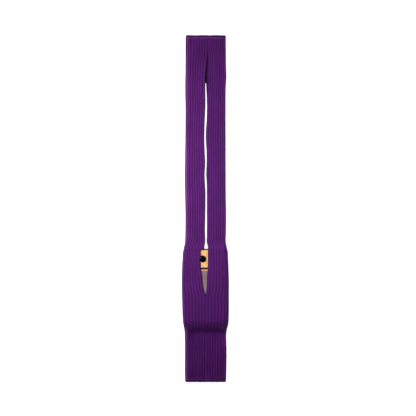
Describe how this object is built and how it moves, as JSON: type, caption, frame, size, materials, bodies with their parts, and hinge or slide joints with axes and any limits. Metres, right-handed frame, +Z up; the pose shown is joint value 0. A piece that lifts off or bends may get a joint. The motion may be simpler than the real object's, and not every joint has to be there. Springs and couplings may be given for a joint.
{
  "type": "stretching strap",
  "caption": "Flat purple rib-knit stretching strap, slit into a long hand loop, with a wood-and-grey board and a black knob held in the pocket below the loop",
  "frame": {"origin": "centre of the strap's footprint, at the face it lies on", "axes": "X across the strap, +Y along it from the plain tail toward the hand loop's seam, +Z up out of the face with the board's slit"},
  "size_m": [0.1074, 0.8, 0.0268],
  "materials": {
    "knit": "purple elastic rib knit",
    "seam_thread": "dark purple overlocked edge",
    "thread": "purple sewing thread",
    "core_wood": "plain plywood core",
    "pale_wood": "pale tan wood, satin",
    "dark_band": "dark brown, matte",
    "grey_cover": "grey-taupe, matte",
    "black_gloss": "black, glossy",
    "steel": "plain steel",
    "brass": "plain brass"
  },
  "bodies": {
    "pocket": {"pocket_front": "knit", "pocket_back": "knit", "slit_tack_lower": "thread", "board_core": "core_wood", "edge_band": "dark_band", "wood_panel": "pale_wood", "dark_inlay": "dark_band", "wood_rail": "pale_wood", "grey_pad": "grey_cover", "knob": "black_gloss", "knob_screw": "steel", "screw_insert": "brass"},
    "tail": {"tail_knit": "knit", "bottom_seam": "seam_thread", "bottom_stitching": "thread"},
    "loop_legs": {"left_leg": "knit", "right_leg": "knit"},
    "grip_end": {"top_band": "knit", "top_seam": "seam_thread", "top_stitching": "thread", "slit_tack_upper": "thread", "slit_tack_back": "thread"}
  },
  "joints": [
    {"name": "tail_fold", "type": "hinge", "parent": "pocket", "child": "tail", "pos_m": [0, -0.3026, 0.003], "axis": [1, 0, 0], "range_deg": [-120, 90]},
    {"name": "loop_fold", "type": "hinge", "parent": "pocket", "child": "loop_legs", "pos_m": [0, -0.0544, 0.003], "axis": [1, 0, 0], "range_deg": [-90, 120]},
    {"name": "strap_stretch", "type": "slide", "parent": "loop_legs", "child": "grip_end", "axis": [0, 1, 0], "range_m": [0, 0.25], "stiffness_N_per_m": 60, "deforming": ["left_leg", "right_leg"]}
  ]
}
